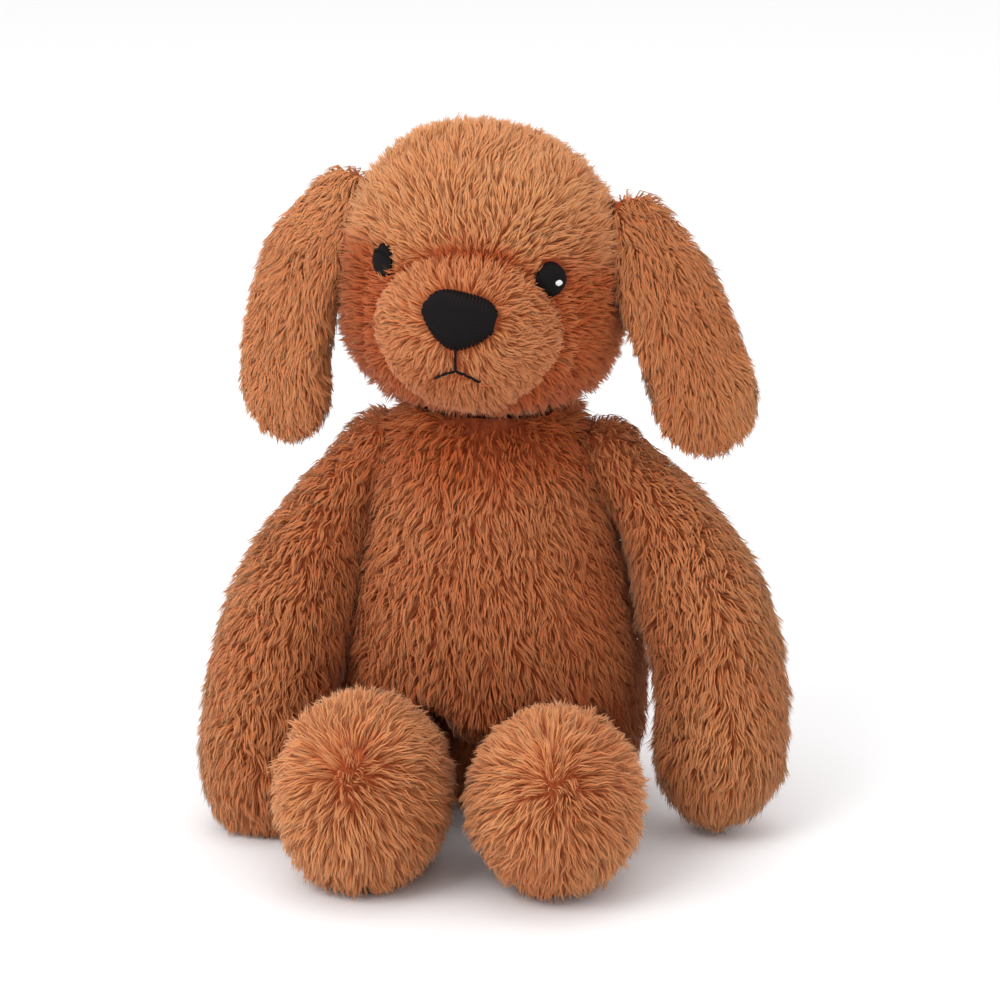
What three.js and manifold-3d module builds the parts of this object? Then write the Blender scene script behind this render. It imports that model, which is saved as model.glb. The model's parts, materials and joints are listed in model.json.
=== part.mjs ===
// A sitting plush dog: round head with a short muzzle, hanging ears, long arms, legs held forward.
//
// Millimetres, +Z up. The dog faces -Y and its own left side is +X. The origin is on the floor, under
// the middle of the seat. Each stuffed part is a skin sewn from panels around a filling of its own.
// The parts that move end in a soft ball around a wad of filling, and each ball is centred on its pivot.

import * as THREE from "three";
import { mergeVertices } from "three/addons/utils/BufferGeometryUtils.js";
import Module from "manifold-3d";

const wasm = await Module();
wasm.setup();

// ---- Driving dimensions -------------------------------------------------------------------------

const SKIN = 2; // thickness of the fabric with its dense underfur
const GAP = 0.7; // clearance between a skin and what it holds
const SEAM = 0.5; // width of the slot between two sewn panels
const BIG = 400; // side of a block that stands for everything on one side of a plane

const TORSO = {
  height: 141,
  depth: 0.85, // front to back, as a share of the width
  side: [[30, 0], [50, 12], [55, 40], [50.4, 72], [39.6, 103], [29.7, 126], [20, 141]], // radius, height
  seatSeam: 3, // height of the seam around the seat panel
};
const POUCH = { centre: [0, 13, 13.4], radii: [27, 21, 11] }; // bag of pellets in the seat
const LABEL = { size: [12, 0.6, 13], place: [-24, 41.8, 10.5], turn: 21 };

const NECK = { pivot: [0, 0, 143.5], ball: 18.5, wad: 12, dish: 21.5, opening: 11, stitch: 20, thread: 0.6 };

const HEAD = {
  centre: [-2, -2, 198.5],
  turn: -4, // the rest turn about Z, towards the dog's right
  lean: 3.3, // the rest lean about Y, left side down
  skull: [45.5, 45, 48.5],
  jowl: 3.4, // how square the lower half is in profile; 2 is a plain ellipsoid
  muzzle: { centre: [1, -27, -19], radii: [30, 34.5, 25] },
  sideSeam: 34.5, // distance of the two side seams from the middle
  backSeam: 5, // distance of the seam between face and back of head behind the centre
};
const NOSE = { centre: [2.3, -7.5], width: 25, height: 20.5, lean: -6 };
const MOUTH = { top: -18.4, fork: -26.2, corner: [7.6, -30.6], thread: 0.7 };
const EYE = { place: [28.6, -34.7, 4.8], width: 11, height: 12.5, glint: 1.6, glintAt: [2.4, -1.8] };

const EAR = {
  pivot: [49, 0, 22],
  ball: 9, // half the width of the leaf at its root
  radius: 15.8, // half its width lower down
  swell: [5, 42],
  end: 18,
  thick: 0.28, // thickness over width
  turn: 24, // turn of the broad face from facing forward towards facing outward
  left: [[-4, 1, 6], [0, 0, 0], [14, -3, -25], [26, -4, -56], [36, -2, -84]],
  right: [[-4, 1, 6], [0, 0, 0], [14.5, -3, -25], [20.5, -4, -55], [21, -2, -91]],
};

const ARM = {
  pivot: [40, 0, 131],
  ball: 13,
  wad: 7.5,
  end: 26, // length over which the paw rounds off
  radius: 21,
  swell: [27, 98], // the stretch from the shoulder over which the arm grows to its full radius
  path: [[-8, 0, 10.2], [0, 0, 0], [22, 0, -27], [39, 0, -72], [41, 0, -97], [39.5, 0, -138]],
  pose: { left: { swing: 16, raise: 2.6 }, right: { swing: 21.8, raise: -2.6 } },
};

const LEG = {
  pivot: [30, -36, 26],
  ball: 18,
  wad: 11,
  end: 29,
  radius: 29,
  swell: [24, 72],
  rise: 0.07, // how much taller than wide the foot is
  path: [[0, 18, 0], [0, 0, 0], [0, -30, 1.8], [0, -62, 6], [0, -91, 9.5]],
  splay: 3,
  trough: 22.6, // radius of the hollow under the belly that the hips sit in
  sole: { foot: [0, -62, 6], tilt: 16, depth: 13 }, // the round panel on the front of the foot
};

const TAIL = {
  pivot: [0, 48, 30],
  ball: 6,
  radius: 8,
  end: 9,
  swell: [6, 24],
  path: [[0, -5.7, -1.9], [0, 0, 0], [0, 16, 6], [0, 31, 16]],
};

// ---- Colours -------------------------------------------------------------------------------------

const FINISH = {
  head: { color: 0xc98554, roughness: 0.95, metalness: 0 },
  limb: { color: 0xb87345, roughness: 0.95, metalness: 0 },
  body: { color: 0x97532f, roughness: 0.95, metalness: 0 },
  thread: { color: 0x17120f, roughness: 0.6, metalness: 0 },
  glint: { color: 0xf4f2ee, roughness: 0.5, metalness: 0 },
  filling: { color: 0xf2efe8, roughness: 0.9, metalness: 0 },
  pouch: { color: 0xd8d2c4, roughness: 0.85, metalness: 0 },
  label: { color: 0xf6f5f0, roughness: 0.6, metalness: 0 },
};

// ---- Solids --------------------------------------------------------------------------------------

const X = new THREE.Vector3(1, 0, 0);
const Y = new THREE.Vector3(0, 1, 0);
const Z = new THREE.Vector3(0, 0, 1);
const radians = THREE.MathUtils.degToRad;
const vector = (point) => new THREE.Vector3(...point);
const mirrored = (point, side) => [point[0] * side, point[1], point[2]];

// A closed three.js geometry as a solid that can be joined and cut.
function solidOf(geometry) {
  const bare = geometry.index ? geometry.clone() : geometry;
  bare.deleteAttribute("normal");
  bare.deleteAttribute("uv");
  const merged = mergeVertices(bare, 1e-4);
  const corners = merged.index.array;
  const kept = [];
  for (let i = 0; i < corners.length; i += 3) {
    const [a, b, c] = corners.slice(i, i + 3);
    if (a !== b && b !== c && c !== a) kept.push(a, b, c);
  }
  return new wasm.Manifold(new wasm.Mesh({
    numProp: 3,
    vertProperties: new Float32Array(merged.attributes.position.array),
    triVerts: new Uint32Array(kept),
  }));
}

// A solid as a three.js geometry.
function geometryOf(solid) {
  const mesh = solid.getMesh();
  const geometry = new THREE.BufferGeometry();
  geometry.setAttribute("position", new THREE.BufferAttribute(mesh.vertProperties, 3));
  geometry.setIndex(new THREE.BufferAttribute(mesh.triVerts, 1));
  geometry.computeVertexNormals();
  return geometry;
}

// An ellipsoid; with a jowl its lower half swells towards the corners of its profile.
function ellipsoid(centre, radii, around = 16, rows = 10, jowl = 2) {
  const geometry = new THREE.SphereGeometry(1, around, rows);
  geometry.rotateX(Math.PI / 2);
  const position = geometry.attributes.position;
  for (let i = 0; i < position.count; i += 1) {
    const [flat, up] = [Math.hypot(position.getX(i), position.getY(i)), position.getZ(i)];
    if (up >= 0) continue;
    const swell = (flat ** jowl + (-up) ** jowl) ** (-1 / jowl);
    position.setXYZ(i, position.getX(i) * swell, position.getY(i) * swell, up * swell);
  }
  geometry.scale(...radii);
  geometry.translate(...centre);
  return solidOf(geometry);
}

const ball = (centre, radius, around, rows) => ellipsoid(centre, [radius, radius, radius], around, rows);

// Everything on the far side of the plane at this distance along its normal.
function beyond(normal, distance) {
  const block = new THREE.BoxGeometry(BIG, BIG, BIG);
  block.translate(0, 0, BIG / 2 + distance);
  block.applyQuaternion(new THREE.Quaternion().setFromUnitVectors(Z, normal));
  return solidOf(block);
}

// The part of a solid beyond a seam, half the seam's width away from it.
const panel = (solid, normal, distance) => solid.intersect(beyond(normal, distance + SEAM / 2));

const less = (solid, ...hollows) => hollows.reduce((rest, hollow) => rest.subtract(hollow), solid);

// A stuffed limb along a path. Its section is round, grows from the ball at the pivot to its full radius,
// and closes as part of an ellipsoid at both ends. With an inset it is the same limb, that much thinner,
// and with a half it is only the half in front of or behind its middle surface.
function limb(shape, points, around, rows, inset = 0) {
  const curve = new THREE.CatmullRomCurve3(points.map(vector), false, "centripetal");
  const length = curve.getLength();
  const profile = [];
  for (let row = 0; row <= rows; row += 1) {
    const s = length * (1 - Math.cos(Math.PI * row / rows)) / 2;
    const swell = THREE.MathUtils.smoothstep(s, shape.swell[0], shape.swell[1]);
    const startLeft = Math.max(0, 1 - s / shape.ball);
    const endLeft = Math.max(0, 1 - (length - s) / shape.end);
    const full = THREE.MathUtils.lerp(shape.ball, shape.radius, swell);
    const radius = (full - inset) * Math.sqrt(Math.max(0, 1 - startLeft ** 2 - endLeft ** 2));
    const closed = row === 0 || row === rows ? 0 : radius;
    profile.push(new THREE.Vector2(closed, inset + s * (length - 2 * inset) / length));
  }
  const geometry = new THREE.LatheGeometry(profile, around);
  const across = vector(shape.across ?? [1, 0, 0]);
  const position = geometry.attributes.position;
  for (let i = 0; i < position.count; i += 1) {
    const share = THREE.MathUtils.clamp(position.getY(i) / length, 0, 1);
    const along = curve.getTangentAt(share);
    const wide = across.clone().addScaledVector(along, -across.dot(along)).normalize();
    const thick = new THREE.Vector3().crossVectors(wide, along);
    const taller = 1 + (shape.rise ?? 0) * THREE.MathUtils.smoothstep(share, 0.3, 0.7);
    const place = curve.getPointAt(share);
    place.addScaledVector(wide, position.getX(i));
    let off = position.getZ(i) * (shape.thick ?? 1) * taller;
    if (shape.half) off = shape.half * Math.max(off * shape.half, SEAM / 2);
    place.addScaledVector(thick, off);
    position.setXYZ(i, place.x, place.y, place.z);
  }
  return solidOf(geometry);
}

// ---- Scene graph ---------------------------------------------------------------------------------

function add(parent, name, solid, finish) {
  const mesh = new THREE.Mesh(geometryOf(solid), new THREE.MeshStandardMaterial(FINISH[finish]));
  mesh.name = name;
  parent.add(mesh);
}

function frameAt(parent, position) {
  const frame = new THREE.Group();
  frame.position.set(...position);
  parent.add(frame);
  return frame;
}

// ---- Torso ---------------------------------------------------------------------------------------

// The hollow that the hips sit in: a half-round roof across the dog, open to the floor and to the front.
function hipTrough(radius) {
  const outline = new THREE.Shape();
  outline.absarc(LEG.pivot[1], LEG.pivot[2], radius, 0, Math.PI, false);
  outline.lineTo(LEG.pivot[1] - radius, -BIG / 2);
  outline.lineTo(LEG.pivot[1] + radius, -BIG / 2);
  const geometry = new THREE.ExtrudeGeometry(outline, { depth: BIG, bevelEnabled: false, curveSegments: 8 });
  geometry.translate(0, 0, -BIG / 2);
  geometry.applyMatrix4(new THREE.Matrix4().makeBasis(Y, Z, X));
  return solidOf(geometry);
}

function torsoSolid(inset, around = 24) {
  const side = new THREE.SplineCurve(TORSO.side.map((point) => new THREE.Vector2(...point)));
  const outline = [new THREE.Vector2(0, 0), ...side.getPoints(10), new THREE.Vector2(0, TORSO.height)];
  const squeeze = (TORSO.height - 2 * inset) / TORSO.height;
  const profile = outline.map((p) => new THREE.Vector2(Math.max(p.x - inset, 0), inset + p.y * squeeze));
  const geometry = new THREE.LatheGeometry(profile, around);
  geometry.rotateX(Math.PI / 2);
  geometry.scale(1, TORSO.depth, 1);
  return less(
    solidOf(geometry),
    ball(NECK.pivot, NECK.dish + inset, 16, 10),
    ball(ARM.pivot, ARM.ball + 1 + inset, 12, 8),
    ball(mirrored(ARM.pivot, -1), ARM.ball + 1 + inset, 12, 8),
    ball(TAIL.pivot, TAIL.ball + 0.8 + inset, 10, 6),
    hipTrough(LEG.trough + inset),
  );
}

function buildTorso(dog) {
  const skin = torsoSolid(0).subtract(torsoSolid(SKIN));
  const upper = panel(skin, Z, TORSO.seatSeam);
  add(dog, "torso_front_panel", panel(upper, Y.clone().negate(), 0), "body");
  add(dog, "torso_back_panel", panel(upper, Y, 0), "body");
  add(dog, "torso_seat_panel", panel(skin, Z.clone().negate(), -TORSO.seatSeam), "body");

  const recess = ellipsoid(POUCH.centre, POUCH.radii.map((radius) => radius + GAP), 12, 8);
  add(dog, "torso_filling", torsoSolid(SKIN + GAP, 16).subtract(recess), "filling");
  add(dog, "seat_pellet_pouch", ellipsoid(POUCH.centre, POUCH.radii, 12, 8), "pouch");

  const label = frameAt(dog, LABEL.place);
  label.rotation.z = radians(LABEL.turn);
  add(label, "care_label", solidOf(new THREE.BoxGeometry(...LABEL.size)), "label");
}

// ---- Neck ----------------------------------------------------------------------------------------

function buildNeck(dog) {
  const neck = frameAt(dog, NECK.pivot);
  add(neck, "neck_filling", ball([0, 0, 0], NECK.wad, 12, 8), "filling");
  add(neck, "neck_stitching", solidOf(new THREE.TorusGeometry(NECK.stitch, NECK.thread, 5, 20)), "body");
}

// ---- Head ----------------------------------------------------------------------------------------

const skullSolid = (grow, around = 24, rows = 14) =>
  ellipsoid([0, 0, 0], HEAD.skull.map((radius) => radius + grow), around, rows, HEAD.jowl);
const muzzleSolid = (grow, around = 18, rows = 12) =>
  ellipsoid(HEAD.muzzle.centre, HEAD.muzzle.radii.map((radius) => radius + grow), around, rows);

// The point of the muzzle's front, pushed out by a distance, at this place across and up.
function onMuzzle(across, up, out) {
  const [x, y, z] = HEAD.muzzle.centre;
  const [wide, deep, tall] = HEAD.muzzle.radii.map((radius) => radius + out);
  const share = Math.sqrt(1 - ((across - x) / wide) ** 2 - ((up - z) / tall) ** 2);
  return [across, y - deep * share, up];
}

// An oval rod that points along a direction from a centre.
function ovalRod(centre, direction, width, height, lean = 0) {
  const outline = new THREE.Shape();
  outline.absellipse(0, 0, width / 2, height / 2, 0, Math.PI * 2, false, 0);
  const geometry = new THREE.ExtrudeGeometry(outline, { depth: 30, bevelEnabled: false, curveSegments: 8 });
  geometry.translate(0, 0, -15);
  geometry.rotateZ(radians(lean));
  const out = direction.clone().normalize();
  const across = new THREE.Vector3().crossVectors(Z, out).normalize();
  const up = new THREE.Vector3().crossVectors(out, across);
  geometry.applyMatrix4(new THREE.Matrix4().makeBasis(across, up, out));
  geometry.translate(...centre);
  return solidOf(geometry);
}

function threadAlong(points) {
  const path = new THREE.CatmullRomCurve3(points.map(vector), false, "centripetal");
  const section = new THREE.Shape();
  section.absarc(0, 0, MOUTH.thread, 0, Math.PI * 2, false);
  const options = { steps: 6, extrudePath: path, curveSegments: 3, bevelEnabled: false };
  return solidOf(new THREE.ExtrudeGeometry(section, options));
}

// The mouth: one line of stitches down from the nose, and a shallow bow across its foot.
function mouthSolid() {
  const middle = NOSE.centre[0];
  const [half, low] = MOUTH.corner;
  const out = MOUTH.thread + 0.4;
  const down = [MOUTH.top, (MOUTH.top + MOUTH.fork) / 2, MOUTH.fork].map((up) => onMuzzle(middle, up, out));
  const bow = [-1, -0.5, 0, 0.5, 1].map((share) => {
    const up = MOUTH.fork + (low - MOUTH.fork) * share ** 2;
    return onMuzzle(middle + half * share, up, out);
  });
  return threadAlong(down).add(threadAlong(bow));
}

function buildEye(head, name, side) {
  const place = mirrored(EYE.place, side);
  const outward = vector(place).divide(vector(HEAD.skull)).divide(vector(HEAD.skull)).normalize();
  const rod = ovalRod(place, outward, EYE.width, EYE.height);
  add(head, `${name}_eye`, skullSolid(1.3).subtract(skullSolid(0.3)).intersect(rod), "thread");

  const glintPlace = [place[0] + EYE.glintAt[0], place[1], place[2] + EYE.glintAt[1]];
  const glintRod = ovalRod(glintPlace, outward, EYE.glint * 2, EYE.glint * 2);
  add(head, `${name}_eye_glint`, skullSolid(2.3).subtract(skullSolid(1.6)).intersect(glintRod), "glint");
}

function buildEar(head, name, side) {
  const ear = frameAt(head, mirrored(EAR.pivot, side));
  const turn = radians(EAR.turn) * side;
  const leaf = { ...EAR, across: [Math.cos(turn), Math.sin(turn), 0] };
  const points = EAR[name].map((point) => mirrored(point, side));
  add(ear, `${name}_ear_front_panel`, limb({ ...leaf, half: -1 }, points, 14, 11), "head");
  add(ear, `${name}_ear_back_panel`, limb({ ...leaf, half: 1 }, points, 14, 11), "head");
}

function buildHead(dog) {
  const head = frameAt(dog, HEAD.centre);
  head.rotation.set(0, radians(HEAD.lean), radians(HEAD.turn), "ZYX");
  head.updateMatrixWorld(true);
  const neck = head.worldToLocal(vector(NECK.pivot)).toArray();

  const whole = (inset) => skullSolid(-inset).add(muzzleSolid(-inset)).add(ball(neck, NECK.ball - inset, 14, 8));
  const hole = new THREE.CylinderGeometry(NECK.opening, NECK.opening, NECK.ball, 16);
  hole.rotateX(Math.PI / 2);
  hole.translate(neck[0], neck[1], neck[2] - NECK.ball);
  const skin = less(whole(0), whole(SKIN), solidOf(hole));

  const left = X;
  const right = X.clone().negate();
  const middle = panel(panel(skin, right, -HEAD.sideSeam), left, -HEAD.sideSeam);
  add(head, "face_panel", panel(middle, Y.clone().negate(), -HEAD.backSeam), "head");
  add(head, "head_back_panel", panel(middle, Y, HEAD.backSeam), "head");
  add(head, "head_left_panel", panel(skin, left, HEAD.sideSeam), "head");
  add(head, "head_right_panel", panel(skin, right, HEAD.sideSeam), "head");

  const filling = skullSolid(-SKIN - GAP, 16, 10).add(muzzleSolid(-SKIN - GAP, 12, 8));
  add(head, "head_filling", filling.subtract(ball(neck, NECK.wad + 1, 12, 8)), "filling");

  const nosePlace = onMuzzle(...NOSE.centre, 0);
  const noseRod = ovalRod(nosePlace, Y.clone().negate(), NOSE.width, NOSE.height, NOSE.lean);
  const noseSkin = muzzleSolid(1.5).subtract(muzzleSolid(0.3));
  add(head, "nose_embroidery", less(noseSkin.intersect(noseRod), skullSolid(0.3)), "thread");
  add(head, "mouth_embroidery", mouthSolid(), "thread");
  for (const [name, side] of [["left", 1], ["right", -1]]) {
    buildEye(head, name, side);
    buildEar(head, name, side);
  }
}

// ---- Limbs ---------------------------------------------------------------------------------------

// The filling of a limb ends at its pivot, hollowed around the wad that it turns on.
function limbFilling(shape, points, around, rows) {
  const inner = limb(shape, points, around, rows, SKIN + 2 * GAP);
  const outward = vector(points[1]).sub(vector(points[0])).normalize();
  return inner.intersect(beyond(outward, 0)).subtract(ball([0, 0, 0], shape.wad + 0.6, 12, 8));
}

function buildArm(dog, name, side) {
  const shoulder = frameAt(dog, mirrored(ARM.pivot, side));
  shoulder.rotation.x = -radians(ARM.pose[name].swing);
  add(shoulder, `${name}_shoulder_wad`, ball([0, 0, 0], ARM.wad, 10, 8), "filling");

  const arm = frameAt(shoulder, [0, 0, 0]);
  arm.rotation.y = -radians(ARM.pose[name].raise) * side;
  const points = ARM.path.map((point) => mirrored(point, side));
  const skin = limb(ARM, points, 14, 11).subtract(limb(ARM, points, 14, 11, SKIN));
  add(arm, `${name}_arm_front_panel`, panel(skin, Y.clone().negate(), 0), "limb");
  add(arm, `${name}_arm_back_panel`, panel(skin, Y, 0), "limb");
  add(arm, `${name}_arm_filling`, limbFilling(ARM, points, 10, 9), "filling");
}

function buildLeg(dog, name, side) {
  const hip = frameAt(dog, mirrored(LEG.pivot, side));
  hip.rotation.z = radians(LEG.splay) * side;
  add(hip, `${name}_hip_wad`, ball([0, 0, 0], LEG.wad, 12, 8), "filling");

  const leg = frameAt(hip, [0, 0, 0]);
  const skin = limb(LEG, LEG.path, 16, 11).subtract(limb(LEG, LEG.path, 16, 11, SKIN));
  const facing = new THREE.Vector3(0, -Math.cos(radians(LEG.sole.tilt)), Math.sin(radians(LEG.sole.tilt)));
  const soleSeam = facing.dot(vector(LEG.sole.foot)) + LEG.sole.depth;
  const upper = panel(skin, facing.clone().negate(), -soleSeam);
  const outward = X.clone().multiplyScalar(side);
  add(leg, `${name}_leg_outer_panel`, panel(upper, outward, 0), "limb");
  add(leg, `${name}_leg_inner_panel`, panel(upper, outward.clone().negate(), 0), "limb");
  add(leg, `${name}_foot_sole`, panel(skin, facing, soleSeam), "limb");
  add(leg, `${name}_leg_filling`, limbFilling(LEG, LEG.path, 12, 9), "filling");
}

function buildTail(dog) {
  const tail = frameAt(dog, TAIL.pivot);
  const skin = limb(TAIL, TAIL.path, 10, 7).subtract(limb(TAIL, TAIL.path, 10, 7, SKIN));
  add(tail, "tail_left_panel", panel(skin, X, 0), "limb");
  add(tail, "tail_right_panel", panel(skin, X.clone().negate(), 0), "limb");
  add(tail, "tail_filling", limb(TAIL, TAIL.path, 8, 6, SKIN + GAP), "filling");
}

// ---- Assembly ------------------------------------------------------------------------------------

const group = new THREE.Group();
buildTorso(group);
buildNeck(group);
buildHead(group);
for (const [name, side] of [["left", 1], ["right", -1]]) {
  buildArm(group, name, side);
  buildLeg(group, name, side);
}
buildTail(group);

export default group;
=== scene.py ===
"""A sitting plush dog in long ginger pile, with an embroidered face, on a pale studio floor."""

import json
import math

import bpy
import numpy as np
from mathutils import Matrix, Vector


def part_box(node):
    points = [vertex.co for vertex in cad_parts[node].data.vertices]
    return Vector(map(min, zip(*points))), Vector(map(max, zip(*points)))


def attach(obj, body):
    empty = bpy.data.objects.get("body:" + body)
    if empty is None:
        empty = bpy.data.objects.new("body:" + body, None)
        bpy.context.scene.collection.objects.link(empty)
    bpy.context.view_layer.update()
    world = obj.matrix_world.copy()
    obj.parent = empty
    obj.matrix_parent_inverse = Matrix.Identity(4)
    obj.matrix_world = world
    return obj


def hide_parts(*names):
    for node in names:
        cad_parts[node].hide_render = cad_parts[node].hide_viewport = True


bl_info = {
    "name": "Plush Dog",
    "version": (1, 0, 0),
    "blender": (4, 5, 0),
    "location": "3D View > Sidebar > Plush Dog",
    "description": "Sews a sitting plush dog with long pile and an embroidered face",
    "category": "Object",
}

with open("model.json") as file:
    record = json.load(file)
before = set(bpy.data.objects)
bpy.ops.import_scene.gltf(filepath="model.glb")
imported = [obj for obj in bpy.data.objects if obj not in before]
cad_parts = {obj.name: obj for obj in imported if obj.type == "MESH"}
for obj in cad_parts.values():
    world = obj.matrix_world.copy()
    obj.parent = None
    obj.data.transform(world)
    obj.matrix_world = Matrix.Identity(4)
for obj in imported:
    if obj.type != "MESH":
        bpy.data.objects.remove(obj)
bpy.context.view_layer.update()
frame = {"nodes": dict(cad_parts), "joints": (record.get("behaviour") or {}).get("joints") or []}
JOINT = {joint["name"]: joint for joint in frame["joints"]}

MM = 0.001  # sizes below are in millimetres and angles in degrees, unless they say otherwise
INSET = 3.0  # how far the sewn skin lies under the outside of the pile's body
FLOOR = 0.25  # the lowest that a tuft may hang
SKIN_FLOOR = 2.0  # the lowest that a limb's skin may lie
DOWN = np.array([0.0, 0.0, -1.0])
SIDES = (("left", 1), ("right", -1))

HEAD_CENTRE = np.array([-2.0, -2.0, 198.5])
HEAD_TURN, HEAD_LEAN = -4.0, 3.3
SKULL = np.array([48.0, 45.0, 48.5])
JOWL = 3.4
MUZZLE_CENTRE = np.array([1.0, -27.0, -15.5])
MUZZLE = np.array([32.5, 34.5, 29.0])
SIDE_SEAM, BACK_SEAM, SEAM_HOLD = 34.5, 5.0, 1.6
FACE_FRONT, FAR = -30, 99  # the nose and mouth lie in front of this; a distance that is out of reach
FACE_HOLLOWS = (((2, -45, 9), 0.12, 0.8), ((30, -34, -2), 0.16, 1.6), ((-30, -34, -2), 0.16, 1.6))
NOSE_CENTRE, NOSE_HALF, NOSE_LEAN = (2.3, -8.4), (12.9, 10.2), -8.0
NOSE_TOP = 0.86  # the nose's upper half against its lower half
MOUTH_TOP, MOUTH_FORK, MOUTH_CORNER = -17.0, -26.2, (7.8, -30.2)
EYE_PLACE = {1: np.array([29.9, -34.7, 3.2]), -1: np.array([-31.6, -33.5, 3.9])}
EYE_HALF = (5.8, 6.5)
EYE_SHOWS = {1: (-0.2, 0.9, 0.95), -1: (-0.3, 0.6, 0.42)}  # what the pile leaves bare: out, up, share
GLINT_SHIFT, GLINT_RADIUS = (1.9, -0.7), 1.2
EYE_RISE, GLINT_RISE = {1: 2.5, -1: 2.0}, {1: 4.2, -1: 2.4}  # how far the threads stand off the skin

TORSO_SIDE = ((30, 0), (50, 12), (55.5, 40), (53.5, 72), (45.5, 103), (39.5, 126), (34, 140), (28, 150))
TORSO_DEPTH, SEAT_TOP = 0.85, 2.6
NECK_BALL, NECK_DISH = 15.5, 24.0  # the radius of the collar, and of the dish that it sits in
HIP_HOLLOW, HIP_MIDDLE = 19.0, 10.0  # how deep the hollow over the hips is, and how much less in the middle

EAR_PATH = {
    "left": ((-4, 1, 6), (0, 0, 0), (16, -3, -25), (29.5, -4, -54), (39.5, -2, -79)),
    "right": ((-4, 1, 6), (0, 0, 0), (14.5, -3, -25), (20.5, -4, -55), (21, -2, -91)),
}
EAR = {"ball": 12.5, "radius": 17.6, "swell": (5, 42), "end": 18, "thick": 0.28}
EAR_TURN, EAR_ROOT = 24.0, (49.0, 0, 22.0)
ARM_PATH = {
    "left": ((-8, 0, 10.2), (0, 0, 0), (21.5, 0, -26), (38.5, 0, -70), (40.5, 0, -96), (38, 0, -133)),
    "right": ((-8, 0, 10.2), (0, 0, 0), (19.5, 0, -28), (36, 0, -72), (41, 0, -98), (41, 0, -141.5)),
}
ARM = {"ball": 13.5, "radius": 22.4, "swell": (22, 84), "end": 26}
ARM_POSE = {"left": (16.0, 2.6), "right": (21.8, -2.6)}
LEG_PATH = ((0, 18, 0), (0, 0, 0), (0, -30, 1.8), (0, -62, 6), (0, -91, 9.5))
LEG = {"ball": 18, "radius": 29, "swell": (24, 72), "end": 29}
FOOT_RISE = {"left": 0.08, "right": 0.2}
LEG_SPLAY = 3.0
FOOT = np.array([0, -62.0, 6.0])
SOLE_LEAN, SOLE_OUT = 16, 13  # how far back the sole leans, and how far its seam is from the foot's middle
WHORL_LEAN, WHORL_OUT = 36, 26  # where the foot's pile parts, above the middle of the sole
TAIL_PATH = ((0, -5.7, -1.9), (0, 0, 0), (0, 16, 6), (0, 31, 16))
TAIL = {"ball": 6, "radius": 8, "swell": (6, 24), "end": 9}

# Each sewn panel of the head and the torso: its name, design solid, number of locks and random seed.
HEAD_PANELS = (
    ("face", "face_panel", 29000, 29070), ("back", "head_back_panel", 15000, 15105),
    ("left", "head_left_panel", 8500, 8605), ("right", "head_right_panel", 8500, 8612),
)
TORSO_PANELS = (
    ("front", "torso_front_panel", 31500, 31500), ("back", "torso_back_panel", 26000, 26000),
    ("seat", "torso_seat_panel", 3400, 3400),
)
LABEL_TURN, LABEL_HALF, LABEL_THICKNESS = 21, 6, 0.18
NECK_LOCKS, EAR_LOCKS, ARM_LOCKS, LEG_LOCKS, TAIL_LOCKS = 2600, 29500, 29000, 18500, 5000
FIRM = {"head": 0.75, "ear": 0.2, "torso": 0.7, "arm": 0.6, "leg": 0.7, "tail": 0.6, "fibre": 0.9}

# The lamps: place and aim in metres, size in metres, power in watts.
LAMPS = (
    ("key", (-0.75, -1.0, 1.25), (0, -0.02, 0.12), 0.9, 11),
    ("fill", (1.3, -1.1, 0.7), (0, 0, 0.12), 1.4, 0.5),
    ("top", (0.0, 0.25, 1.7), (0, 0, 0.1), 1.4, 5),
)
FLOOR_HALF, FLOOR_STEPS = 6.0, 9  # in metres, and points along each side
CAMERA_AIM, CAMERA_DISTANCE = Vector((0.005, -0.020, 0.1165)), 1.3  # in metres
CAMERA_TURN, CAMERA_RISE = math.radians(7), math.radians(15)
LENS, SENSOR = 132, 36


# ---- Numbers and frames --------------------------------------------------------------------------


def unit(vectors):
    """Each vector divided by its length."""
    return vectors / np.maximum(np.linalg.norm(vectors, axis=-1, keepdims=True), 1e-9)


def smooth(value, low, high):
    """0 below low, 1 above high, and 3t^2 - 2t^3 in between."""
    t = np.clip((value - low) / (high - low), 0, 1)
    return t * t * (3 - 2 * t)


def turned(points, axis, degrees):
    """Points turned about one of the axes X, Y or Z through the origin."""
    matrix = np.array(Matrix.Rotation(math.radians(degrees), 3, axis))
    return points @ matrix.T


def ripple(points, scale, seed):
    """Smooth noise from -1 to 1: the mean of six sine waves of about this length in random directions."""
    rng = np.random.default_rng(seed)
    waves = unit(rng.normal(size=(6, 3))) * (2 * math.pi / scale) * rng.uniform(0.7, 1.4, (6, 1))
    phase = rng.uniform(0, 2 * math.pi, 6)
    return np.sin(points @ waves.T + phase).mean(axis=1) * 1.6


def head_turned(points):
    """Points or directions turned as the head is."""
    return turned(turned(points, "Y", HEAD_LEAN), "Z", HEAD_TURN)


def head_to_world(points):
    """Head coordinates, in millimetres from the head's centre, to the dog's."""
    return head_turned(points) + HEAD_CENTRE


def world_to_head(points):
    """The dog's coordinates to the head's."""
    return turned(turned(points - HEAD_CENTRE, "Z", -HEAD_TURN), "Y", -HEAD_LEAN)


def pivot(joint):
    """A joint's pivot, in millimetres."""
    return np.array(JOINT[joint]["pos_m"]) / MM


# ---- Surfaces ------------------------------------------------------------------------------------


def split(a, b, c, d):
    """Two triangles for each cell of a grid: a and b are its corners on one row, c and d on the next."""
    return np.concatenate([np.stack([a, b, d], -1).reshape(-1, 3), np.stack([a, d, c], -1).reshape(-1, 3)])


def open_grid(rows, columns):
    """The triangles of a flat grid of points."""
    index = np.arange(rows * columns).reshape(rows, columns)
    return split(index[:-1, :-1], index[:-1, 1:], index[1:, :-1], index[1:, 1:])


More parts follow.
